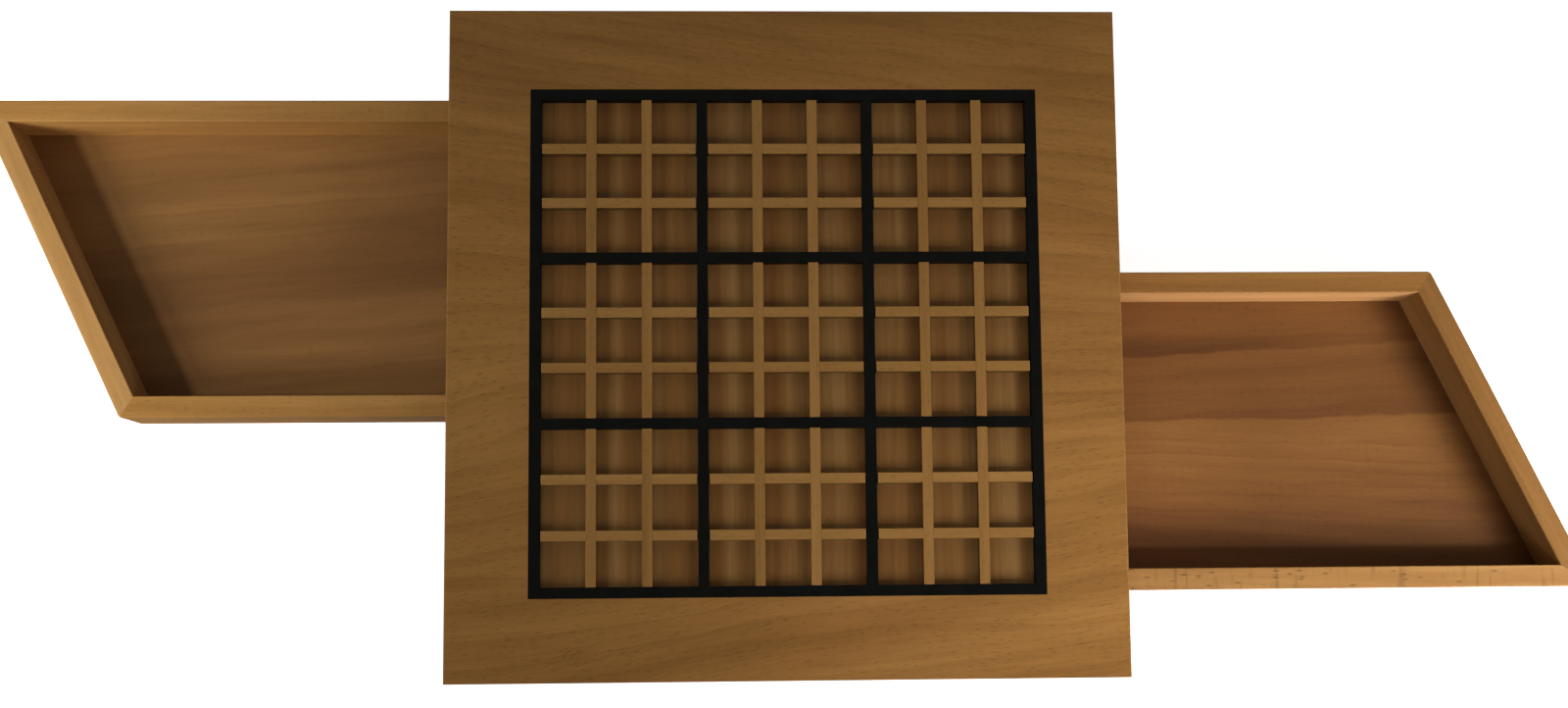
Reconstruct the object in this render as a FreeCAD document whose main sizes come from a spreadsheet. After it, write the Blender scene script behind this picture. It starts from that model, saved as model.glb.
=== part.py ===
"""Nine by nine number puzzle board on a shallow box with two swing-out trays.

Millimetres. X runs to the right, Y to the back and Z up. The origin is the middle of the base
panel's underside. The trays are drawn swung fully out, which is how the board lies at rest.
"""
import FreeCAD, Part
import os
import Sketcher

doc = FreeCAD.newDocument("puzzle_board")
UP = FreeCAD.Vector(0, 0, 1)
TOUCH = 1e-4

# Driving sizes
SIZES = (
    ("cell_width", "20.1", "clear width of one number cell"),
    ("strip_width", "4.5", "light strip between two cells"),
    ("bar_width", "4.7", "black bar between two blocks of cells"),
    ("border_width", "4.9", "black strip around the grid"),
    ("strip_joint", "0.4", "open joint at each end of a light strip that runs along X"),
    ("frame_border", "36.45", "top frame, from the grid to the board's edge"),
    ("frame_thick", "11", "top frame"),
    ("frame_edge", "0.8", "rounding of the top frame's upper edges"),
    ("cell_floor_thick", "6", "panel under the cells"),
    ("cell_floor_lap", "8", "how far that panel is let in under the frame"),
    ("overhang", "5", "how far the top frame stands over the box"),
    ("wall_thick", "7", "front and back wall"),
    ("base_thick", "6", "base panel"),
    ("tray_height", "26", "tray, from its underside to its rim"),
    ("tray_wall", "9.7", "tray walls"),
    ("tray_floor_thick", "3", "tray floor"),
    ("tray_floor_lap", "5", "how far the tray floor is let into the walls"),
    ("tray_corner", "2.5", "rounding of the tray's upright outer corners"),
    ("tray_edge", "0.6", "rounding of the tray's rim"),
    ("tray_gap", "2", "between the two trays when both are closed"),
    ("tray_under", "0.3", "running gap between a tray and the base"),
    ("tray_over", "0.7", "running gap between a tray's rim and the top"),
    ("far_room", "1", "between a closed tray's pointed end and the wall before it"),
    ("swing_clear", "0.5", "between a tray's swinging corner and the other, closed tray"),
    ("pivot_side", "15", "pivot axis to the face of the tray's outer side"),
    ("pivot_end", "34.5", "pivot axis to the face of the tray's inner end"),
    ("pin_dia", "6", "pivot pin"),
    ("pin_seat", "4", "depth of the pin's seats in the base and the top frame"),
    ("pin_play", "0.08", "running clearance all round the pin, in the tray"),
    ("seat_play", "0.05", "glue clearance all round a fixed pin, dowel or screw"),
    ("block_margin", "12", "wood around the pin on the pivot block's free sides"),
    ("block_drop", "1", "pivot block's top below the tray's rim"),
    ("stop_dia", "5", "stop dowels"),
    ("stop_arm", "100", "stop dowels' distance from the pivot, along the end they stop"),
    ("stop_play", "0.3", "gap that a stop dowel leaves at the end of the swing"),
    ("stop_room", "1.2", "between the closed stop and the wall behind it"),
    ("stop_seat", "4", "depth of a stop dowel's seat"),
    ("stop_reach", "12", "how far a stop dowel stands out of its seat"),
    ("dowel_dia", "4", "dowels between the walls and the top frame"),
    ("dowel_in_wall", "9", "dowel length in the wall"),
    ("dowel_in_frame", "7", "dowel length in the top frame"),
    ("fixing_inset", "45", "outer dowels and screws from the wall's ends"),
    ("screw_dia", "3", "base screws, shank"),
    ("screw_head", "5.6", "base screws, countersunk head"),
    ("screw_length", "16", "base screws, from the head's face to the end"),
    ("slot_width", "0.9", "screwdriver slot"),
    ("slot_depth", "0.7", "screwdriver slot"),
)

# Places worked out from the sizes; those of the tray are the left tray's distances from the origin
PLACES = (
    ("block", "3 * Sizes.cell_width + 2 * Sizes.strip_width", "clear width of a block of cells"),
    ("block_pitch", "block + Sizes.bar_width", "from one block to the next"),
    ("strip_offset", "(Sizes.cell_width + Sizes.strip_width) / 2", "strip's axis from the block's middle"),
    ("grid_half", "1.5 * block + Sizes.bar_width + Sizes.border_width", "half the grid with its border"),
    ("bar_length", "3 * block + 2 * Sizes.bar_width", "black bar, from border to border"),
    ("board_half", "grid_half + Sizes.frame_border", "half the board"),
    ("cell_floor_half", "grid_half + Sizes.cell_floor_lap", "half the panel under the cells"),
    ("box_half", "board_half - Sizes.overhang", "half the box"),
    ("wall_face", "box_half - Sizes.wall_thick", "inner face of the front and back wall"),
    ("wall_middle", "box_half - Sizes.wall_thick / 2", "middle of the front and back wall"),
    ("fixing_x", "box_half - Sizes.fixing_inset", "outer dowels and screws"),
    ("tray_bottom", "Sizes.base_thick + Sizes.tray_under", "underside of the trays"),
    ("tray_floor_top", "tray_bottom + Sizes.tray_floor_thick", "upper face of the tray floors"),
    ("tray_rim", "tray_bottom + Sizes.tray_height", "rim of the trays"),
    ("frame_bottom", "tray_rim + Sizes.tray_over", "underside of the top"),
    ("cell_floor_top", "frame_bottom + Sizes.cell_floor_thick", "floor of the cells"),
    ("strip_height", "Sizes.frame_thick - Sizes.cell_floor_thick", "depth of the cells"),
    ("wall_height", "frame_bottom - Sizes.base_thick", "front and back wall"),
    ("tray_width", "box_half - Sizes.tray_gap / 2", "tray, across both sides"),
    ("end_room", "Sizes.stop_dia + Sizes.stop_play + Sizes.stop_room", "behind a closed tray's inner end"),
    ("pivot_x", "box_half - Sizes.pivot_side", "pivot axis"),
    ("pivot_y", "wall_face - end_room - Sizes.pivot_end", "pivot axis"),
    ("inner_x", "pivot_x - Sizes.pivot_end", "tray's inner end"),
    ("outer_y", "pivot_y + Sizes.pivot_side", "tray's outer side"),
    ("inner_y", "outer_y - tray_width", "tray's inner side"),
    ("far_x", "pivot_x + pivot_y + wall_face - Sizes.far_room", "tray's pointed corner"),
    ("swing_x", "tray_width - Sizes.pivot_side", "swinging corner, across from the pivot"),
    ("swing_radius", "sqrt(swing_x ^ 2 + Sizes.pivot_end ^ 2)", "swinging corner, from the pivot"),
    ("near_y", "pivot_y - sqrt((swing_radius + Sizes.swing_clear) ^ 2 - (swing_x + Sizes.tray_gap) ^ 2)",
     "tray's blunt corner when closed, set back so that the other tray's corner swings past it"),
    ("near_x", "pivot_x + pivot_y + near_y", "tray's blunt corner"),
    ("slope", "(far_x - near_x) / tray_width", "slant of the tray's outer end"),
    ("slant", "sqrt(1 + slope ^ 2)", "length of the slanted end for each millimetre across"),
    ("pin_r", "Sizes.pin_dia / 2", "pivot pin"),
    ("stop_r", "Sizes.stop_dia / 2", "stop dowel"),
    ("open_stop_x", "inner_x + Sizes.tray_wall + Sizes.stop_play + stop_r", "open stop"),
    ("open_stop_y", "pivot_y - Sizes.stop_arm", "open stop"),
    ("closed_stop_x", "pivot_x - Sizes.stop_arm", "closed stop"),
    ("closed_stop_y", "wall_face - Sizes.stop_room - stop_r", "closed stop"),
    ("head_height", "(Sizes.screw_head - Sizes.screw_dia) / 2", "countersunk head at a right angle"),
)


def fill_sheet(name, rows, lead):
    """Write named values into a sheet: the value, its alias, and what it is."""
    sheet = doc.addObject("Spreadsheet::Sheet", name)
    for row, (alias, value, meaning) in enumerate(rows, start=1):
        sheet.set("A%d" % row, lead + value)
        sheet.setAlias("A%d" % row, alias)
        sheet.set("B%d" % row, meaning)
    doc.recompute()
    return sheet


fill_sheet("Sizes", SIZES, "")
places = fill_sheet("Places", PLACES, "=")


def value_of(formula):
    """The present value of an expression over the sheets."""
    value = places.evalExpression(formula)
    return float(getattr(value, "Value", value))


def bind(thing, **formulas):
    """Tie an object's properties to expressions."""
    for name, formula in formulas.items():
        thing.setExpression(name, formula)


def put(thing, x, y, z):
    """Tie an object's place to three expressions."""
    for axis, formula in zip("xyz", (x, y, z)):
        thing.setExpression("Placement.Base." + axis, formula)


# Solids made from primitives
def box(name, low, size):
    """A box from its low corner and its three sizes."""
    solid = doc.addObject("Part::Box", name)
    bind(solid, Length=size[0], Width=size[1], Height=size[2])
    put(solid, *low)
    return solid


def cylinder(name, foot, radius, height):
    """An upright cylinder from the middle of its lower face."""
    solid = doc.addObject("Part::Cylinder", name)
    bind(solid, Radius=radius, Height=height)
    put(solid, *foot)
    return solid


def cut(name, base, *tools):
    """A solid with one or more tools taken away."""
    tool = tools[0]
    if len(tools) > 1:
        tool = doc.addObject("Part::MultiFuse", name + "_tools")
        tool.Shapes = list(tools)
    solid = doc.addObject("Part::Cut", name)
    solid.Base = base
    solid.Tool = tool
    return solid


def group(name, solids):
    """Separate solids that share one node."""
    compound = doc.addObject("Part::Compound", name)
    compound.Links = list(solids)
    return compound


# Solids made from sketches
def sketch_on(body, name, level):
    """A level sketch in a body, at a height."""
    sketch = body.newObject("Sketcher::SketchObject", name)
    plane = next(part for part in body.Origin.OriginFeatures if part.Role == "XY_Plane")
    sketch.AttachmentSupport = [(plane, "")]
    sketch.MapMode = "FlatFace"
    sketch.setExpression("AttachmentOffset.Base.z", level)
    return sketch


def hold_point(sketch, geometry, point, x, y):
    """Hold a point of a sketch at two distances from the origin."""
    for kind, formula in (("DistanceX", x), ("DistanceY", y)):
        rule = Sketcher.Constraint(kind, -1, 1, geometry, point, value_of(formula))
        index = sketch.addConstraint(rule)
        sketch.setExpression("Constraints[%d]" % index, formula)


def draw_outline(sketch, corners):
    """A closed outline of straight lines through corners, each two expressions."""
    points = [FreeCAD.Vector(value_of(x), value_of(y), 0) for x, y in corners]
    ends = points[1:] + points[:1]
    lines = [sketch.addGeometry(Part.LineSegment(start, end)) for start, end in zip(points, ends)]
    for line, following in zip(lines, lines[1:] + lines[:1]):
        sketch.addConstraint(Sketcher.Constraint("Coincident", line, 2, following, 1))
    for line, (x, y) in zip(lines, corners):
        hold_point(sketch, line, 1, x, y)


def draw_circle(sketch, x, y, radius):
    """A circle at two distances from the origin."""
    middle = FreeCAD.Vector(value_of(x), value_of(y), 0)
    circle = sketch.addGeometry(Part.Circle(middle, UP, value_of(radius)))
    hold_point(sketch, circle, 3, x, y)
    index = sketch.addConstraint(Sketcher.Constraint("Radius", circle, value_of(radius)))
    sketch.setExpression("Constraints[%d]" % index, radius)


def pad(body, sketch, height):
    """Raise a sketch into a solid."""
    feature = body.newObject("PartDesign::Pad", sketch.Name + "_pad")
    feature.Profile = sketch
    feature.setExpression("Length", height)
    doc.recompute()


def pocket(body, sketch, depth):
    """Cut a sketch upwards out of a body, and stop if that took nothing away."""
    before = body.Shape.Volume
    feature = body.newObject("PartDesign::Pocket", sketch.Name + "_pocket")
    feature.Profile = sketch
    feature.Reversed = True
    feature.setExpression("Length", depth)
    doc.recompute()
    if body.Shape.Volume > before - TOUCH:
        raise RuntimeError(sketch.Name + " cuts nothing")


def round_edges(body, name, radius, wanted):
    """Round the edges that a test picks."""
    base = body.Tip
    names = ["Edge%d" % number for number, edge in enumerate(base.Shape.Edges, start=1) if wanted(edge)]
    feature = body.newObject("PartDesign::Fillet", name)
    feature.Base = (base, names)
    feature.setExpression("Radius", radius)
    doc.recompute()


def plate(name, corners, level, height):
    """A flat piece with a straight-sided outline."""
    body = doc.addObject("PartDesign::Body", name)
    sketch = sketch_on(body, name + "_outline", level)
    draw_outline(sketch, corners)
    pad(body, sketch, height)
    return body


def square(half):
    """The corners of a square about the origin."""
    return [("-" + half, "-" + half), (half, "-" + half), (half, half), ("-" + half, half)]


def lies_at(edge, height):
    """Whether an edge is level and at a height."""
    return all(abs(vertex.Z - height) < TOUCH for vertex in edge.Vertexes)


def half_turn(thing):
    """Turn a left piece round to the right: the board looks the same from its front and back."""
    thing.Placement = FreeCAD.Placement(FreeCAD.Vector(), FreeCAD.Rotation(UP, 180))


# Both sides in turn: the name and the signs of the pivot's X and Y
SIDES = (("left", "-", ""), ("right", "", "-"))
FIXING_PLACES = (("left", "-Places.fixing_x"), ("middle", "0"), ("right", "Places.fixing_x"))
WALL_PLACES = (("front", "-"), ("back", ""))
PIECES = []


def make_top_frame():
    """The panel around the grid: window, rebate for the cell floor, and seats for pins and dowels."""
    body = doc.addObject("PartDesign::Body", "top_frame")
    blank = sketch_on(body, "frame_blank", "Places.frame_bottom")
    draw_outline(blank, square("Places.board_half"))
    pad(body, blank, "Sizes.frame_thick")
    window = sketch_on(body, "frame_window", "Places.frame_bottom")
    draw_outline(window, square("Places.grid_half"))
    pocket(body, window, "Sizes.frame_thick")
    rebate = sketch_on(body, "frame_rebate", "Places.frame_bottom")
    draw_outline(rebate, square("Places.cell_floor_half"))
    pocket(body, rebate, "Sizes.cell_floor_thick")
    pin_seats = sketch_on(body, "frame_pin_seats", "Places.frame_bottom")
    for side, sign_x, sign_y in SIDES:
        draw_circle(pin_seats, sign_x + "Places.pivot_x", sign_y + "Places.pivot_y",
                    "Places.pin_r + Sizes.seat_play")
    pocket(body, pin_seats, "Sizes.pin_seat")
    dowel_seats = sketch_on(body, "frame_dowel_seats", "Places.frame_bottom")
    for wall, sign in WALL_PLACES:
        for where, x in FIXING_PLACES:
            draw_circle(dowel_seats, x, sign + "Places.wall_middle",
                        "Sizes.dowel_dia / 2 + Sizes.seat_play")
    pocket(body, dowel_seats, "Sizes.dowel_in_frame")
    top = value_of("Places.frame_bottom + Sizes.frame_thick")
    reach = value_of("Places.board_half")

    def on_outer_top(edge):
        outside = [max(abs(vertex.X), abs(vertex.Y)) > reach - TOUCH for vertex in edge.Vertexes]
        return lies_at(edge, top) and all(outside)

    round_edges(body, "frame_rounding", "Sizes.frame_edge", on_outer_top)
    PIECES.append(body)


def make_cell_floor():
    """The panel under the cells, with the seats of the open stops."""
    blank = box("cell_floor_blank",
                ("-Places.cell_floor_half", "-Places.cell_floor_half", "Places.frame_bottom"),
                ("2 * Places.cell_floor_half", "2 * Places.cell_floor_half", "Sizes.cell_floor_thick"))
    seats = [cylinder(side + "_open_stop_seat",
                      (sign_x + "Places.open_stop_x", sign_y + "Places.open_stop_y", "Places.frame_bottom"),
                      "Places.stop_r + Sizes.seat_play", "Sizes.stop_seat")
             for side, sign_x, sign_y in SIDES]
    PIECES.append(cut("cell_floor", blank, *seats))


def make_black_border():
    """Four black strips around the grid, mitred at the corners."""
    outer = square("Places.grid_half")
    inner = square("(Places.grid_half - Sizes.border_width)")
    for number, where in enumerate(("front", "right", "back", "left")):
        after = (number + 1) % len(outer)
        corners = [outer[number], outer[after], inner[after], inner[number]]
        PIECES.append(plate("black_border_" + where, corners, "Places.cell_floor_top", "Places.strip_height"))


def halved_strip(name, along, offset, length, width, crossings):
    """A strip of the grid, notched to half its height where it crosses its neighbours.

    Strips along Y are notched from below and strips along X from above.
    """
    middle = "-(%s) / 2" % length
    side = "%s - (%s) / 2" % (offset, width)
    half = "Places.strip_height / 2"
    foot = "Places.cell_floor_top"
    if along == "y":
        blank = box(name + "_blank", (side, middle, foot), (width, length, "Places.strip_height"))
    else:
        blank = box(name + "_blank", (middle, side, foot), (length, width, "Places.strip_height"))
    notches = []
    for number, crossing in enumerate(crossings, start=1):
        start = "%s - (%s) / 2" % (crossing, width)
        if along == "y":
            low = (side, start, foot)
        else:
            low = (start, side, foot + " + " + half)
        notches.append(box("%s_notch_%d" % (name, number), low, (width, width, half)))
    return cut(name, blank, *notches)


def make_black_bars():
    """Two black bars each way, halved together."""
    offset = "Places.block_pitch / 2"
    crossings = ("-" + offset, offset)
    for where, along, place in (("left", "y", "-" + offset), ("right", "y", offset),
                                ("front", "x", "-" + offset), ("back", "x", offset)):
        PIECES.append(halved_strip("black_bar_" + where, along, place, "Places.bar_length",
                                   "Sizes.bar_width", crossings))


def make_light_strips():
    """Two light strips each way in every block of cells, halved together.

    Column strips part the columns and run along Y. Row strips part the rows and run along X.
    """
    crossings = ("-Places.strip_offset", "Places.strip_offset")
    kinds = (("column", "y", "Places.block"), ("row", "x", "Places.block - 2 * Sizes.strip_joint"))
    columns = (("left", "-Places.block_pitch"), ("middle", "0"), ("right", "Places.block_pitch"))
    rows = (("front", "-Places.block_pitch"), ("middle", "0"), ("back", "Places.block_pitch"))
    for kind, along, length in kinds:
        strips = [halved_strip("%s_strip_%d" % (kind, number), along, offset, length,
                               "Sizes.strip_width", crossings)
                  for number, offset in enumerate(crossings, start=1)]
        for row, y in rows:
            for column, x in columns:
                pair = group("%s_strips_%s_%s" % (kind, row, column), strips)
                put(pair, x, y, "0")
                PIECES.append(pair)


def screw_shape(name, x, y, play):
    """A countersunk screw, head down at the base's underside, grown all round by a clearance."""
    shank = "Sizes.screw_dia / 2 + " + play
    head = doc.addObject("Part::Cone", name + "_head")
    bind(head, Radius1="Sizes.screw_head / 2 + " + play, Radius2=shank, Height="Places.head_height")
    put(head, x, y, "0")
    stem = cylinder(name + "_stem", (x, y, "0"), shank, "Sizes.screw_length")
    whole = doc.addObject("Part::Fuse", name)
    whole.Base = head
    whole.Tool = stem
    return whole


def make_box():
    """Base panel, front and back wall, and the dowels and screws that join them."""
    dowels = []
    screws = []
    screw_holes = []
    for wall, sign in WALL_PLACES:
        middle = sign + "Places.wall_middle"
        holes = []
        for where, x in FIXING_PLACES:
            name = wall + "_" + where
            foot = (x, middle, "Places.frame_bottom - Sizes.dowel_in_wall")
            dowels.append(cylinder(name + "_dowel", foot, "Sizes.dowel_dia / 2",
                                   "Sizes.dowel_in_wall + Sizes.dowel_in_frame"))
            holes.append(cylinder(name + "_dowel_hole", foot, "Sizes.dowel_dia / 2 + Sizes.seat_play",
                                  "Sizes.dowel_in_wall"))
            hole = screw_shape(name + "_screw_hole", x, middle, "Sizes.seat_play")
            holes.append(hole)
            screw_holes.append(hole)
            slot_low = (x + " - Sizes.screw_head / 2", middle + " - Sizes.slot_width / 2", "0")
            slot = box(name + "_slot", slot_low, ("Sizes.screw_head", "Sizes.slot_width", "Sizes.slot_depth"))
            screws.append(cut(name + "_screw", screw_shape(name + "_screw_blank", x, middle, "0"), slot))
        face = {"-": "-Places.box_half", "": "Places.wall_face"}[sign]
        blank = box(wall + "_wall_blank", ("-Places.box_half", face, "Sizes.base_thick"),
                    ("2 * Places.box_half", "Sizes.wall_thick", "Places.wall_height"))
        PIECES.append(cut(wall + "_wall", blank, *holes))
    blank = box("base_blank", ("-Places.box_half", "-Places.box_half", "0"),
                ("2 * Places.box_half", "2 * Places.box_half", "Sizes.base_thick"))
    seats = []
    for side, sign_x, sign_y in SIDES:
        pin_foot = (sign_x + "Places.pivot_x", sign_y + "Places.pivot_y", "Sizes.base_thick - Sizes.pin_seat")
        seats.append(cylinder(side + "_pin_seat", pin_foot, "Places.pin_r + Sizes.seat_play",
                              "Sizes.pin_seat"))
        stop_foot = (sign_x + "Places.closed_stop_x", sign_y + "Places.closed_stop_y",
                     "Sizes.base_thick - Sizes.stop_seat")
        seats.append(cylinder(side + "_stop_seat", stop_foot, "Places.stop_r + Sizes.seat_play",
                              "Sizes.stop_seat"))
    PIECES.append(cut("base_panel", blank, *seats, *screw_holes))
    PIECES.append(group("wall_dowels", dowels))
    PIECES.append(group("base_screws", screws))


def make_pins_and_stops():
    """The pins that the trays turn on, and the dowels that end their swing."""
    for side, sign_x, sign_y in SIDES:
        pin_foot = (sign_x + "Places.pivot_x", sign_y + "Places.pivot_y", "Sizes.base_thick - Sizes.pin_seat")
        PIECES.append(cylinder(side + "_pivot_pin", pin_foot, "Places.pin_r",
                               "Places.wall_height + 2 * Sizes.pin_seat"))
        open_foot = (sign_x + "Places.open_stop_x", sign_y + "Places.open_stop_y",
                     "Places.frame_bottom - Sizes.stop_reach")
        PIECES.append(cylinder(side + "_open_stop", open_foot, "Places.stop_r",
                               "Sizes.stop_reach + Sizes.stop_seat"))
        closed_foot = (sign_x + "Places.closed_stop_x", sign_y + "Places.closed_stop_y",
                       "Sizes.base_thick - Sizes.stop_seat")
        PIECES.append(cylinder(side + "_closed_stop", closed_foot, "Places.stop_r",
                               "Sizes.stop_reach + Sizes.stop_seat"))


def tray_corners(inset):
    """The left tray's four corners, drawn in by an inset: pointed, pivot, swinging and blunt corner."""
    slanted = "(%s) * (Places.slant %s Places.slope)"
    inner_x = "-Places.inner_x - (%s)" % inset
    outer_y = "Places.outer_y - (%s)" % inset
    inner_y = "Places.inner_y + (%s)" % inset
    return [("-Places.far_x + " + slanted % (inset, "+"), outer_y),
            (inner_x, outer_y),
            (inner_x, inner_y),
            ("-Places.near_x + " + slanted % (inset, "-"), inner_y)]


def make_tray_ring():
    """All four walls of a tray in one: hollow, rebated for the floor, and rounded."""
    body = doc.addObject("PartDesign::Body", "tray_ring")
    outside = sketch_on(body, "tray_outside", "Places.tray_bottom")
    draw_outline(outside, tray_corners("0"))
    pad(body, outside, "Sizes.tray_height")
    corners = [(value_of(x), value_of(y)) for x, y in tray_corners("0")]

    def on_outer_corner(edge):
        return any(all(abs(vertex.X - x) < TOUCH and abs(vertex.Y - y) < TOUCH for vertex in edge.Vertexes)
                   for x, y in corners)

    round_edges(body, "tray_corner_rounding", "Sizes.tray_corner", on_outer_corner)
    hollow = sketch_on(body, "tray_hollow", "Places.tray_bottom")
    draw_outline(hollow, tray_corners("Sizes.tray_wall"))
    pocket(body, hollow, "Sizes.tray_height")
    rebate = sketch_on(body, "tray_rebate", "Places.tray_bottom")
    draw_outline(rebate, tray_corners("Sizes.tray_wall - Sizes.tray_floor_lap"))
    pocket(body, rebate, "Sizes.tray_floor_thick")
    rim = value_of("Places.tray_rim")
    round_edges(body, "tray_rim_rounding", "Sizes.tray_edge", lambda edge: lies_at(edge, rim))
    return body


def make_trays():
    """Both trays: four mitred walls, the floor let into them, and the block that takes the pin."""
    ring = make_tray_ring()
    outer = tray_corners("0")
    inner = tray_corners("Sizes.tray_wall")
    shapes = []
    for number, wall in enumerate(("outer_side", "inner_end", "inner_side", "slanted_end")):
        after = (number + 1) % len(outer)
        corners = [outer[number], outer[after], inner[after], inner[number]]
        wedge = plate("tray_%s_mitre" % wall, corners, "Places.tray_bottom", "Sizes.tray_height")
        shapes.append(("tray_" + wall, "Part::Common", ring, wedge))
    pin_hole = cylinder("tray_pin_hole", ("-Places.pivot_x", "Places.pivot_y", "Places.tray_bottom"),
                        "Places.pin_r + Sizes.pin_play", "Sizes.tray_height")
    floor = plate("tray_floor_blank", tray_corners("Sizes.tray_wall - Sizes.tray_floor_lap"),
                  "Places.tray_bottom", "Sizes.tray_floor_thick")
    shapes.append(("tray_floor", "Part::Cut", floor, pin_hole))
    block = box("pivot_block_blank",
                ("-Places.pivot_x - Sizes.block_margin", "Places.pivot_y - Sizes.block_margin",
                 "Places.tray_floor_top"),
                ("Places.pivot_x + Sizes.block_margin - Places.inner_x - Sizes.tray_wall",
                 "Sizes.pivot_side - Sizes.tray_wall + Sizes.block_margin",
                 "Sizes.tray_height - Sizes.tray_floor_thick - Sizes.block_drop"))
    shapes.append(("pivot_block", "Part::Cut", block, pin_hole))
    for side, sign_x, sign_y in SIDES:
        for name, operation, base, tool in shapes:
            piece = doc.addObject(operation, side + "_" + name)
            piece.Base = base
            piece.Tool = tool
            if side == "right":
                half_turn(piece)
            PIECES.append(piece)


def check_document():
    """Stop if any object failed, or any piece is empty or broken."""
    failed = [item.Name for item in doc.Objects if {"Invalid", "Error"} & set(item.State)]
    if failed:
        raise RuntimeError("failed objects: " + ", ".join(failed))
    for piece in PIECES:
        shape = piece.Shape
        if shape.isNull() or not shape.isValid() or not shape.Solids:
            raise RuntimeError("broken piece: " + piece.Label)


make_top_frame()
make_cell_floor()
make_black_border()
make_black_bars()
make_light_strips()
make_box()
make_pins_and_stops()
make_trays()
doc.recompute()
check_document()

os.makedirs("parts", exist_ok=True)
for piece in PIECES:
    piece.Shape.exportStep("parts/%s.step" % piece.Label)
print("%d pieces written" % len(PIECES))
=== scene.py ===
"""Looks, light and camera for the number puzzle board with two swing-out trays."""
import math

import bpy
from mathutils import Matrix, Quaternion, Vector

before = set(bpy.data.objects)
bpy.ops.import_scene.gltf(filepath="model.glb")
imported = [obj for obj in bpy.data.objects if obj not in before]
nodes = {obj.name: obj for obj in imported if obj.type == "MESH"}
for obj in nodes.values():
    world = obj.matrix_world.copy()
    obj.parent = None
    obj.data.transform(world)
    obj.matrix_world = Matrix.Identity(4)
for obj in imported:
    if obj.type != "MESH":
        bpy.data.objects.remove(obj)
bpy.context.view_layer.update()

# Half of the square board, in metres
HALF_BOARD = 0.15

# Angles of the grain from X: in pieces that run from front to back, and in the wall at a tray's
# slanted end, from how far that wall runs in Y and X
ACROSS = math.pi / 2
SLANTED = math.atan2(-144.0, 68.3)

# The tint of the varnish in a wood's gloss
AMBER = (1.0, 0.82, 0.58, 1.0)
WHITE = (1.0, 1.0, 1.0, 1.0)

# How deep a bump of full height is, in metres
BUMP_DEPTH = 0.0004

# Where most values of a noise lie
NOISE_SPAN = (0.3, 0.7)

# The wood's finer marks: how many there are in a metre, along and across the grain
STREAKS = (30, 600)
RAYS = (420, 45)
FIBRES = (130, 3600)
TEETH = (90, 40)

# Where dark, middle and light tones stand in a wood's tone
TONE_STOPS = (0.30, 0.50, 0.70)

# From the noise of the rays, where a ray begins and where it is darkest
RAY_SPAN = (0.56, 0.70)

# How far from its middle a fleck starts to fade, and where it ends, as shares of its cell
FLECK_SPAN = (0.10, 0.34)

# How far the tone pushes even growth rings, in rings, and where in a ring its dark line begins
RING_PUSH = 1.8
RING_LINE = 0.55

# How ragged the edges of uneven growth rings are, and from which width a ring is wide, in metres
RAGGED = 0.003
WIDE_RING = 0.015

# How much the roughness of wood changes with its streaks
GLOSS_SWING = 0.14

# How far a face points up or down, for the painted light and shade on upright faces: as little as
# the first is a side, as much as the second is flat
PAINTED_SIDE_STOPS = (0.2, 0.8)

# Widths of broken edges, in metres
FINE_EDGE = 0.0002
SMALL_EDGE = 0.0003
WIDE_EDGE = 0.0004


def srgb(red, green, blue):
    """A colour written in 8-bit sRGB, as the linear numbers that a shader takes."""
    def linear(value):
        share = value / 255
        return share / 12.92 if share <= 0.04045 else ((share + 0.055) / 1.055) ** 2.4
    return (linear(red), linear(green), linear(blue), 1.0)


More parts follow.
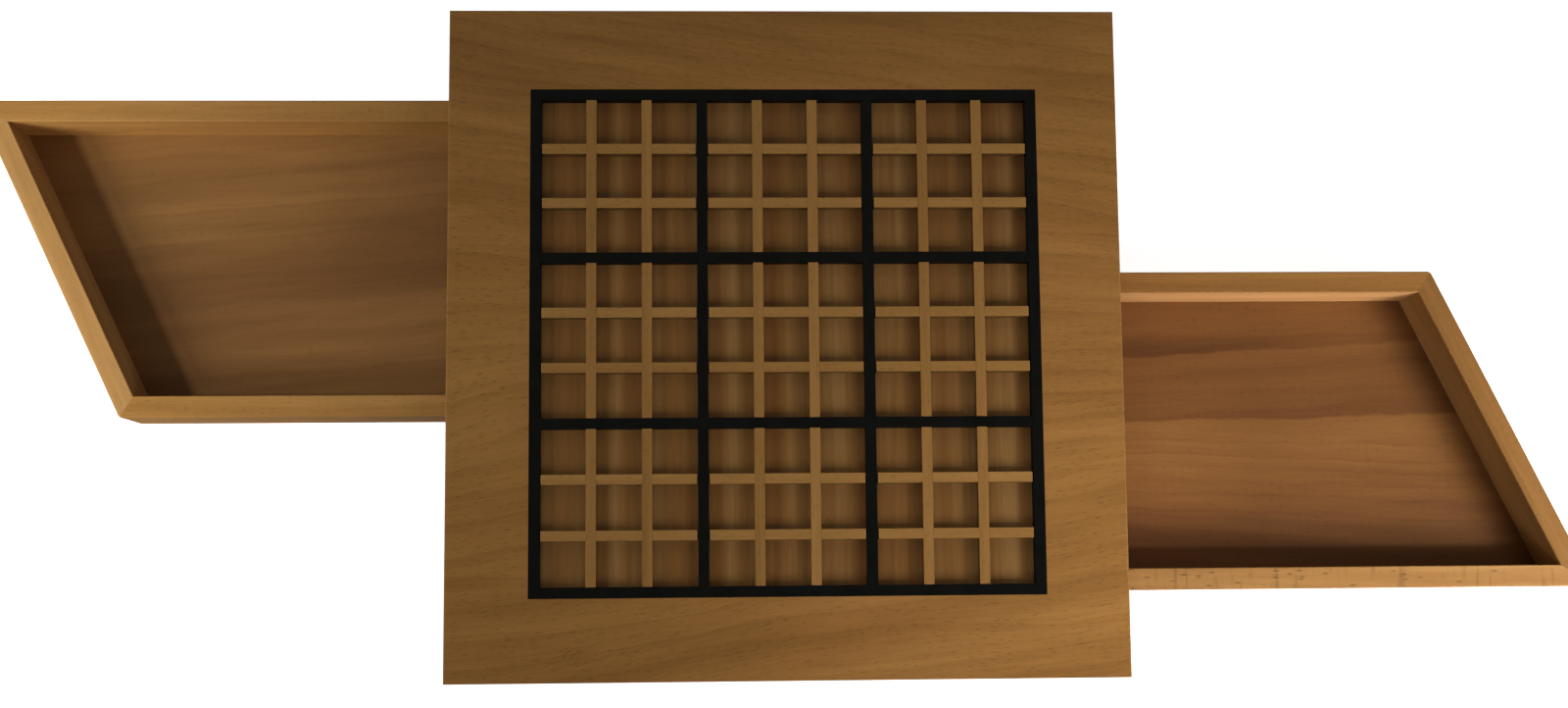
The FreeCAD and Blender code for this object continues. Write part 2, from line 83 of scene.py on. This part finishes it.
class Shader:
    """The node tree of a material or a world, with short calls that add nodes to it."""

    def __init__(self, owner):
        owner.use_nodes = True
        self.tree = owner.node_tree
        self.tree.nodes.clear()

    def add(self, kind, inputs=None, **settings):
        """A new node, with its settings, and numbers or other nodes' sockets for its inputs."""
        node = self.tree.nodes.new("ShaderNode" + kind)
        for name, value in settings.items():
            setattr(node, name, value)
        for name, value in (inputs or {}).items():
            if isinstance(value, bpy.types.NodeSocket):
                self.tree.links.new(value, node.inputs[name])
            else:
                node.inputs[name].default_value = value
        return node

    def math(self, operation, *values):
        """The result of a sum on numbers or sockets."""
        return self.add("Math", dict(enumerate(values)), operation=operation).outputs[0]

    def vector(self, operation, *values):
        """The result of a sum on vectors."""
        inputs = dict(enumerate(values))
        return self.add("VectorMath", inputs, operation=operation).outputs["Vector"]

    def axes(self, vector):
        """The X, Y and Z of a vector."""
        return self.add("SeparateXYZ", {"Vector": vector}).outputs

    def red(self, colour):
        """The red of a colour."""
        return self.add("SeparateColor", {"Color": colour}).outputs["Red"]

    def span(self, value, low, high, to_low=0.0, to_high=1.0):
        """A value carried from one span to another and held there."""
        inputs = {"Value": value, "From Min": low, "From Max": high,
                  "To Min": to_low, "To Max": to_high}
        return self.add("MapRange", inputs, clamp=True).outputs["Result"]

    def noise(self, place, scale, detail=2.0, roughness=0.5, output="Fac"):
        """Noise with so many changes a metre along the three axes."""
        inputs = {"Vector": self.vector("MULTIPLY", place, scale), "Scale": 1.0,
                  "Detail": detail, "Roughness": roughness}
        return self.add("TexNoise", inputs).outputs[output]

    def ramp(self, value, stops):
        """A colour that follows a value through stops."""
        node = self.add("ValToRGB", {"Fac": value})
        elements = node.color_ramp.elements
        while len(elements) < len(stops):
            elements.new(1.0)
        for element, (place, colour) in zip(elements, stops):
            element.position = place
            element.color = colour
        return node.outputs["Color"]

    def multiply(self, first, second):
        """One colour times another. The node's sockets go by number, because their names repeat."""
        inputs = {0: 1.0, 6: first, 7: second}
        return self.add("Mix", inputs, data_type="RGBA", blend_type="MULTIPLY").outputs[2]

    def shade(self, colour, value, *spans):
        """A colour made darker or lighter by a value that is carried from one span to another."""
        level = self.span(value, *spans)
        grey = self.add("CombineColor", {"Red": level, "Green": level, "Blue": level})
        return self.multiply(colour, grey.outputs["Color"])

    def finish(self, colour, roughness, height, strength, fixed):
        """The principled shader that everything feeds, with bump from a height."""
        inputs = {"Strength": strength, "Distance": BUMP_DEPTH, "Height": height}
        bump = self.add("Bump", inputs).outputs["Normal"]
        inputs = {"Base Color": colour, "Roughness": roughness, "Normal": bump, **fixed}
        surface = self.add("BsdfPrincipled", inputs).outputs["BSDF"]
        self.add("OutputMaterial", {"Surface": surface})


def new_material(name):
    """A new material, its shader, and places in the frame of the piece that wears it, in metres."""
    material = bpy.data.materials.new(name)
    shader = Shader(material)
    return material, shader, shader.add("TexCoord").outputs["Object"]


def grain(along, across):
    """Changes a metre along the grain and in both directions across it."""
    return (along, across, across)


def fan_out(shader, place, start, middle, reach, slope):
    """Coordinates whose lines along X spread like a fan, from a middle line and a start on X."""
    axes = shader.axes(place)
    lean = shader.span(axes["Y"], middle - reach, middle + reach, -slope, slope)
    along = shader.math("SUBTRACT", axes["X"], start)
    across = shader.math("MULTIPLY_ADD", along, lean, axes["Y"])
    fanned = {"X": axes["X"], "Y": across, "Z": axes["Z"]}
    return shader.add("CombineXYZ", fanned).outputs["Vector"]


def bend(shader, place, shift, wander, drift):
    """Coordinates moved to another place in the wood, where the grain wanders to both sides."""
    start = (shift[0], shift[1] - wander / 2, shift[2] - wander / 2)
    moved = shader.vector("ADD", place, start)
    slow = shader.noise(moved, grain(*drift), output="Color")
    return shader.vector("MULTIPLY_ADD", slow, (0, wander, wander), moved)


def add_rings(shader, place, tone, count, depth):
    """Even growth rings, a number a metre: each ends in a thin dark line."""
    push = shader.math("MULTIPLY", tone, RING_PUSH)
    phase = shader.math("MULTIPLY_ADD", shader.axes(place)["Y"], count, push)
    line = shader.span(shader.math("FRACT", phase), RING_LINE, 1.0)
    return shader.math("MULTIPLY_ADD", line, -depth, tone)


def add_bands(shader, place, start, tone, rings, depth):
    """Uneven growth rings with ragged edges.

    Each ring has its front edge and its tone at the front and the back. It takes up most of the
    change between them in its first part, and a wide ring takes longer. Its tones can also carry
    painted light and shade.
    """
    teeth = shader.noise(place, grain(*TEETH), 3.0)
    across = shader.math("SUBTRACT", shader.axes(place)["Y"], start + RAGGED / 2)
    across = shader.math("MULTIPLY_ADD", teeth, RAGGED, across)
    low, high = rings[0][0], rings[-1][0]
    stops = []
    for (first, front, back), (last, _, _) in zip(rings, rings[1:]):
        turn = 0.4 if last - first > WIDE_RING else 0.2
        for share, value in ((0.02, front), (turn, 0.4 * front + 0.6 * back), (0.98, back)):
            position = (first + (last - first) * share - low) / (high - low)
            stops.append((position, (value, value, value, 1.0)))
    level = shader.red(shader.ramp(shader.span(across, low, high), stops))
    return shader.math("MULTIPLY_ADD", shader.math("SUBTRACT", level, 0.5), depth, tone)


def fleck_dashes(shader, place, share, size):
    """Short dashes along the grain, in a share of the cells that there are in a metre."""
    inputs = {"Vector": shader.vector("MULTIPLY", place, grain(*size)), "Scale": 1.0}
    cells = shader.add("TexVoronoi", inputs).outputs
    kept = shader.math("LESS_THAN", shader.red(cells["Color"]), share)
    dash = shader.span(cells["Distance"], *FLECK_SPAN, 1.0, 0.0)
    return shader.math("MULTIPLY", dash, kept)


def painted_light_over_board(sides, ends):
    """Painted light and shade: a fade between the board's left and right edges and between its
    front and back edges.
    """
    return (("X", -HALF_BOARD, HALF_BOARD, *sides), ("Y", -HALF_BOARD, HALF_BOARD, *ends))


def wood(name, tones, angle=0.0, shift=(0.0, 0.0, 0.0), wander=0.006, drift=(5, 14),
         band=(3.0, 60.0), fan=None, rings=None, bands=None, streak=0.10, rays=0.0, fleck=0.45,
         fleck_share=0.4, fleck_size=(240, 1600), fade=(), side=None, gloss=0.42, shine=0.12):
    """Beech: bands of tone along the grain, fine streaks, short dark flecks, and a fibrous gloss.

    tones: its dark, middle and light tone
    angle: the turn of the grain from X
    shift: where in the wood it is cut, in metres
    wander, drift: how far the grain wanders, in metres, and how often, along and across the grain
    band: how often the tone changes, along and across the grain
    fan, rings, bands: what fan_out, add_rings and add_bands take
    streak, rays, fleck: how strong streaks, rays across the grain and flecks are
    fleck_share, fleck_size: what fleck_dashes takes
    fade: painted light and shade: for each axis on which the colour changes, its name, two places
    on it and the factor on the tone at each
    side: painted light and shade: the tint of upright faces
    gloss, shine: its roughness, and how strongly it mirrors
    """
    material, shader, place = new_material(name)
    turn = {"Vector": place, "Rotation": (0, 0, -angle)}
    turned = shader.add("Mapping", turn).outputs["Vector"]
    if fan:
        turned = fan_out(shader, turned, *fan)
    bent = bend(shader, turned, shift, wander, drift)

    tone = shader.noise(bent, grain(*band), 3.0, 0.55)
    if rings:
        tone = add_rings(shader, bent, tone, *rings)
    if bands:
        tone = add_bands(shader, bent, shift[1], tone, *bands)
    colour = shader.ramp(tone, [(stop, srgb(*level)) for stop, level in zip(TONE_STOPS, tones)])

    fine = shader.noise(bent, grain(*STREAKS), 4.0, 0.65)
    colour = shader.shade(colour, fine, *NOISE_SPAN, 1 - streak, 1 + streak)
    if rays:
        cross = shader.noise(bent, grain(*RAYS))
        colour = shader.shade(colour, cross, *RAY_SPAN, 1.0, 1 - rays)
    dashes = fleck_dashes(shader, bent, fleck_share, fleck_size)
    colour = shader.shade(colour, dashes, 0.0, 1.0, 1.0, 1 - fleck)
    # Painted light and shade: the colour made lighter or darker along an axis
    for axis, *ends in fade:
        colour = shader.shade(colour, shader.axes(place)[axis], *ends)
    # Painted light and shade: upright faces tinted lighter or darker than flat ones
    if side:
        upward = shader.axes(shader.add("TexCoord").outputs["Normal"])["Z"]
        stops = list(zip(PAINTED_SIDE_STOPS, ((*side, 1.0), WHITE)))
        tint = shader.ramp(shader.math("ABSOLUTE", upward), stops)
        colour = shader.multiply(colour, tint)

    fibre = shader.noise(bent, grain(*FIBRES))
    height = shader.math("SUBTRACT", fibre, dashes)
    roughness = shader.math("MULTIPLY_ADD", fine, GLOSS_SWING, gloss - GLOSS_SWING / 2)
    mirror = {"Specular IOR Level": shine, "Specular Tint": AMBER}
    shader.finish(colour, roughness, height, 0.10, mirror)
    return material


def lacquer(name):
    """Satin black lacquer on wood: the grain still shows a little in the gloss."""
    material, shader, place = new_material(name)
    cloud = shader.noise(place, (90, 90, 90), 3.0)
    colour = shader.ramp(cloud, [(0.35, srgb(7, 7, 6)), (0.65, srgb(12, 12, 10))])
    pores = shader.noise(place, (900, 900, 900), 3.0)
    roughness = shader.math("MULTIPLY_ADD", pores, 0.16, 0.36)
    shader.finish(colour, roughness, pores, 0.06, {"Specular IOR Level": 0.03})
    return material


def plywood(name):
    """Plywood: plies of two tones at the edges, and streaky grain on the faces."""
    ply_thick = 0.0012
    material, shader, place = new_material(name)
    rough = shader.noise(place, (60, 60, 900))
    level = shader.math("MULTIPLY_ADD", rough, 0.00025, shader.axes(place)["Z"])
    ply = shader.span(shader.math("PINGPONG", level, ply_thick), 0.0005, 0.0007)
    colour = shader.ramp(ply, [(0.0, srgb(168, 126, 80)), (1.0, srgb(132, 92, 54))])
    streaks = shader.noise(place, (12, 260, 260), 4.0, 0.6)
    colour = shader.shade(colour, streaks, *NOISE_SPAN, 0.86, 1.12)
    roughness = shader.math("MULTIPLY_ADD", streaks, 0.15, 0.55)
    shader.finish(colour, roughness, streaks, 0.12, {"Specular IOR Level": 0.25})
    return material


def steel(name):
    """Plain zinc-plated steel with turning marks."""
    material, shader, place = new_material(name)
    marks = shader.noise(place, (500, 500, 9000), 3.0)
    tones = (srgb(176, 177, 180), srgb(206, 207, 208))
    colour = shader.ramp(marks, list(zip(NOISE_SPAN, tones)))
    roughness = shader.math("MULTIPLY_ADD", marks, 0.25, 0.2)
    shader.finish(colour, roughness, marks, 0.05, {"Metallic": 1.0})
    return material


# Tones are dark, middle and light
FRAME_TONES = ((114, 78, 38), (125, 87, 44), (135, 96, 51))
CELL_TONES = ((99, 63, 30), (111, 76, 39), (124, 92, 53))
STRIP_TONES = ((121, 86, 44), (131, 95, 51), (140, 103, 57))
WALL_TONES = ((143, 101, 53), (156, 112, 61), (168, 124, 71))
DEEP_TONES = ((126, 85, 42), (138, 95, 49), (150, 106, 57))
PALE_TONES = ((148, 106, 60), (163, 120, 71), (176, 133, 82))
LIGHT_TONES = ((172, 125, 72), (186, 139, 84), (199, 153, 96))
DARK_TONES = ((119, 82, 42), (130, 91, 48), (141, 100, 55))
LEFT_FLOOR_TONES = ((102, 67, 37), (112, 76, 42), (138, 97, 55))
RIGHT_FLOOR_TONES = ((82, 50, 26), (107, 69, 36), (121, 81, 43))

# Growth rings of the tray floors from front to back, each with its front edge in metres and its
# # tone at the front and at the back. The last line is the back edge. Besides the grain, the tones
# # carry painted shade on the right floor, darker towards its front wall, and painted light on the
# # left floor, lighter towards its back wall.
LEFT_RINGS_AND_PAINTED_LIGHT = (
    (-0.060, 0.70, 0.60), (-0.036, 0.80, 0.65), (-0.012, 0.90, 0.68), (0.012, 0.88, 0.62),
    (0.036, 0.64, 0.44), (0.058, 0.60, 0.42), (0.076, 0.66, 0.48), (0.090, 0.75, 0.90),
    (0.106, 1.00, 1.00),
    (0.124, 0.00, 0.00))
RIGHT_RINGS_AND_PAINTED_SHADE = (
    (-0.112, 0.00, 0.06), (-0.086, 0.00, 0.18), (-0.077, 0.05, 0.28), (-0.069, 0.14, 0.42),
    (-0.063, 0.25, 0.58), (-0.057, 0.30, 0.68), (-0.051, 0.35, 0.75), (-0.044, 0.45, 0.85),
    (-0.033, 0.22, 0.68), (0.000, 0.22, 0.40),
    (0.033, 0.00, 0.00))

# What the woods of each tray have of their own. Cut is where along the wood they come from. Their
# side tints and fades along X are painted light and shade.
TRAY_WOODS = {
    "left": {
        "cut": 0.3,
        # Painted light: its upright faces lighter, and the piece lighter at the far left and darker
        # towards the board
        "outer_side": dict(tones=WALL_TONES, fleck=0.35, fleck_share=0.30, side=(1.35, 1.35, 1.35),
                           fade=(("X", -0.345, -0.165, 1.38, 0.82),)),
        # Painted light and shade: its upright faces darker, and the piece lighter at the left and
        # darker towards the board
        "inner_side": dict(tones=WALL_TONES, side=(0.9, 0.9, 0.9), shine=0.0005,
                           fade=(("X", -0.29, -0.17, 1.30, 0.92),)),
        # Painted shade: its upright faces darker
        "slanted_end": dict(tones=LIGHT_TONES, side=(0.85, 0.85, 0.85)),
        "floor": dict(tones=LEFT_FLOOR_TONES, angle=0.09, bands=(LEFT_RINGS_AND_PAINTED_LIGHT, 0.30),
                      fleck_share=0.15),
    },
    "right": {
        "cut": 0.9,
        # Painted light: its upright faces lighter
        "outer_side": dict(tones=PALE_TONES, fleck=0.55, fleck_share=0.35, fleck_size=(170, 650),
                           rays=0.24, side=(1.2, 1.2, 1.2)),
        # Painted light: its upright faces much lighter, most of all in blue
        "inner_side": dict(tones=DEEP_TONES, side=(2.5, 2.95, 4.45)),
        # Painted light: its upright faces lighter
        "slanted_end": dict(tones=DARK_TONES, side=(1.5, 1.6, 1.8)),
        # Painted light: lighter beside the board, where the board shades the floor
        "floor": dict(tones=RIGHT_FLOOR_TONES, fan=(0.22, -0.037, 0.015, -0.045),
                      bands=(RIGHT_RINGS_AND_PAINTED_SHADE, 0.36), fleck_share=0.30,
                      fade=(("X", HALF_BOARD, 0.22, 1.35, 1.0),)),
    },
}


def tray_materials(side):
    """The materials of one tray's pieces, each cut from another place in the wood."""
    own = TRAY_WOODS[side]
    cut = own["cut"]
    walls = dict(band=(4.0, 90.0), streak=0.09, wander=0.004, gloss=0.40)
    floor = dict(band=(2.5, 30.0), streak=0.07, fleck=0.30, wander=0.010, drift=(9, 20))
    return {
        "outer_side": wood(side + "_outer_beech", shift=(cut, 0.1, 0.0),
                           **walls, **own["outer_side"]),
        "inner_side": wood(side + "_inner_beech", shift=(cut, 0.5, 0.2),
                           fleck=0.35, fleck_share=0.3, **walls, **own["inner_side"]),
        "inner_end": wood(side + "_end_beech", WALL_TONES, ACROSS, (cut, 0.3, 0.1), **walls),
        "slanted_end": wood(side + "_slant_beech", angle=SLANTED, shift=(cut, 0.7, 0.3),
                            fleck=0.3, fleck_share=0.3, **walls, **own["slanted_end"]),
        "floor": wood(side + "_floor_beech", shift=(cut, 0.0, 0.4), **floor, **own["floor"]),
        "block": wood(side + "_block_beech", WALL_TONES, ACROSS, (cut, 0.9, 0.5), **walls),
    }


def dress(name, material, edge=0.0):
    """Give a node its material and, where wanted, slightly broken edges."""
    thing = nodes[name]
    thing.data.materials.clear()
    thing.data.materials.append(material)
    if edge:
        weld = thing.modifiers.new("weld", "WELD")
        weld.merge_threshold = 1e-6
        bevel = thing.modifiers.new("broken_edges", "BEVEL")
        bevel.width = edge
        bevel.segments = 2
        bevel.limit_method = "ANGLE"
        bevel.angle_limit = math.radians(40)


def dress_board():
    """Top frame, grid, box and fittings."""
    # Painted shade on the strips' upright sides, and painted light and shade fading across the
    # board
    strips = dict(streak=0.08, fleck=0.35, side=(0.33, 0.33, 0.33),
                  fade=painted_light_over_board((0.97, 1.15), (1.14, 0.94)))
    black = lacquer("black_lacquer")
    columns = wood("column_strip_beech", STRIP_TONES, ACROSS, (0.2, 0.4, 0.1), **strips)
    rows = wood("row_strip_beech", STRIP_TONES, 0.0, (0.6, 0.2, 0.3), **strips)
    walls = wood("box_wall_beech", FRAME_TONES, 0.0, (0.1, 0.8, 0.2), streak=0.08, fleck=0.35)
    dowels = wood("dowel_beech", WALL_TONES, 0.0, (0.5, 0.5, 0.7), streak=0.08, fleck=0.3)
    metal = steel("zinc_plated_steel")
    # The frame's fade across the board is painted light and shade
    veneer = wood("frame_beech", FRAME_TONES, wander=0.016, drift=(7, 12), band=(5.0, 40.0),
                  fan=(0.0, 0.005, 0.05, 0.14), rings=(80, 0.11), fleck=0.32, fleck_share=0.8,
                  fleck_size=(170, 1250), fade=painted_light_over_board((1.12, 1.28), (1.16, 0.86)))
    # The cell floors' fade across the board is painted light and shade
    panel = wood("cell_floor_beech", CELL_TONES, ACROSS, (0.3, 0.3, 0.0), band=(3.0, 110.0),
                 fleck=0.2, fleck_share=0.2, fade=painted_light_over_board((1.10, 0.97), (1.12, 0.88)))
    plies = plywood("base_plywood")
    # What a name begins or ends with, the material and the broken edge
    looks = (
        ("top_frame", veneer, 0.0),
        ("cell_floor", panel, 0.0),
        ("base_panel", plies, WIDE_EDGE),
        ("black_", black, FINE_EDGE),
        ("column_strips_", columns, FINE_EDGE),
        ("row_strips_", rows, FINE_EDGE),
        ("front_wall", walls, SMALL_EDGE),
        ("back_wall", walls, SMALL_EDGE),
        ("_stop", dowels, SMALL_EDGE),
        ("wall_dowels", dowels, SMALL_EDGE),
        ("_pivot_pin", metal, FINE_EDGE),
        ("base_screws", metal, FINE_EDGE),
    )
    for name in nodes:
        for part, material, edge in looks:
            if name.startswith(part) or name.endswith(part):
                dress(name, material, edge)


def dress_trays():
    """Walls, floor and pivot block of both trays."""
    for side in ("left", "right"):
        looks = tray_materials(side)
        for part in ("outer_side", "inner_side", "inner_end", "slanted_end", "floor"):
            dress("%s_tray_%s" % (side, part), looks[part])
        dress(side + "_pivot_block", looks["block"], WIDE_EDGE)


def shown_rays(shader):
    """One for rays that show the background: from the camera, or through gloss and glass."""
    path = shader.add("LightPath").outputs
    mirrored = shader.math("MAXIMUM", path["Is Glossy Ray"], path["Is Transmission Ray"])
    return shader.math("MAXIMUM", path["Is Camera Ray"], mirrored)


def add_floor():
    """A pale floor, just under the object, that shows as white and keeps the object's shadow."""
    glow_level = 0.85
    bpy.ops.mesh.primitive_plane_add(size=12, location=(0, 0, -0.0003))
    floor = bpy.context.object
    floor.name = "floor"
    material = bpy.data.materials.new("pale_floor")
    shader = Shader(material)
    diffuse = shader.add("BsdfDiffuse", {"Color": (0.80, 0.80, 0.79, 1.0)})
    strength = shader.math("MULTIPLY", shown_rays(shader), glow_level)
    glow = shader.add("Emission", {"Color": WHITE, "Strength": strength})
    both = shader.add("AddShader", {0: diffuse.outputs["BSDF"], 1: glow.outputs["Emission"]})
    shader.add("OutputMaterial", {"Surface": both.outputs["Shader"]})
    floor.data.materials.append(material)


def add_world():
    """A dim even sky that the camera sees as white."""
    sky_level = 0.13
    world = bpy.data.worlds.new("studio")
    bpy.context.scene.world = world
    shader = Shader(world)
    strength = shader.math("MULTIPLY_ADD", shown_rays(shader), 1 - sky_level, sky_level)
    sky = shader.add("Background", {"Color": (0.97, 0.98, 1.0, 1.0), "Strength": strength})
    shader.add("OutputWorld", {"Surface": sky.outputs["Background"]})


# Colours of the lamps
COOL = (0.97, 1.0, 0.95)
PALE = (1.0, 0.98, 0.94)
WARM = (1.0, 0.94, 0.86)
PLAIN = (1.0, 1.0, 0.98)
CREAM = (1.0, 0.96, 0.90)

# At the left and the right, small lamps give the edges of shadows, and large low ones their soft
# inner parts. Each has a name, a place, a target, a width and height, a spread in degrees, a power,
# a colour and a roll in degrees.
LAMPS = (
    ("left_lamp", (-1.06, -0.12, 0.88), (-0.40, 0.0, 0.01),
     (0.12, 0.12), 39, 0.285, COOL, 0),
    ("left_window", (-0.87, -0.223, 0.354), (-0.45, -0.024, 0.01),
     (0.42, 0.36), 52.5, 0.70, COOL, 0),
    ("near_right_lamp", (0.60, -0.36, 0.60), (0.20, -0.05, 0.01),
     (0.06, 0.36), 48, 0.145, WARM, 45),
    ("far_right_lamp", (0.95, -0.335, 0.56), (0.53, -0.15, 0.01),
     (0.05, 0.32), 55, 0.22, PALE, 30),
    ("right_window", (0.751, -0.43, 0.383), (0.414, -0.169, 0.01),
     (0.36, 0.41), 53.3, 1.09, PALE, 0),
    ("front_lamp", (-0.15, -0.62, 0.55), (0.14, -0.12, 0.04),
     (0.20, 0.20), 44, 0.085, PLAIN, 0),
    ("back_lamp", (0.08, 0.75, 0.75), (0.10, -0.12, 0.04),
     (0.40, 0.40), 38, 0.11, CREAM, 0),
)


def add_lamp(name, place, target, size, spread, power, colour, roll):
    """An area lamp that points at a target and is shaded to a spread."""
    data = bpy.data.lights.new(name, "AREA")
    data.shape = "RECTANGLE"
    data.size, data.size_y = size
    data.spread = math.radians(spread)
    data.energy = power
    data.color = colour
    lamp = bpy.data.objects.new(name, data)
    lamp.location = place
    turn = (Vector(target) - Vector(place)).to_track_quat("-Z", "Y")
    lamp.rotation_euler = (turn @ Quaternion((0, 0, 1), math.radians(roll))).to_euler()
    bpy.context.scene.collection.objects.link(lamp)


# The camera, from a fit to the photo's edges: its place and two of its axes, and, in pixels, the
# photo's width, the focal length, and the rows of the optical axis and of the photo's middle
CAMERA_PLACE = (-0.0258, -0.1148, 0.7882)
CAMERA_RIGHT = Vector((0.999451, -0.009333, 0.031794))
CAMERA_UP = Vector((0.006147, 0.995081, 0.098875))
PHOTO_WIDTH = 1600
FOCAL_LENGTH = 1731.9
AXIS_ROW = 440.0
MIDDLE_ROW = 361.0

# In millimetres
SENSOR_WIDTH = 36.0


def add_camera():
    """The photo's camera."""
    data = bpy.data.cameras.new("camera")
    data.sensor_width = SENSOR_WIDTH
    data.lens = SENSOR_WIDTH * FOCAL_LENGTH / PHOTO_WIDTH
    data.shift_y = (AXIS_ROW - MIDDLE_ROW) / PHOTO_WIDTH
    data.clip_start = 0.01
    camera = bpy.data.objects.new("camera", data)
    back = CAMERA_RIGHT.cross(CAMERA_UP)
    turn = Matrix((CAMERA_RIGHT, CAMERA_UP, back)).transposed().to_4x4()
    camera.matrix_world = Matrix.Translation(CAMERA_PLACE) @ turn
    bpy.context.scene.collection.objects.link(camera)
    bpy.context.scene.camera = camera


bpy.context.scene.view_settings.view_transform = "Standard"
dress_board()
dress_trays()
add_floor()
add_world()
for lamp in LAMPS:
    add_lamp(*lamp)
add_camera()
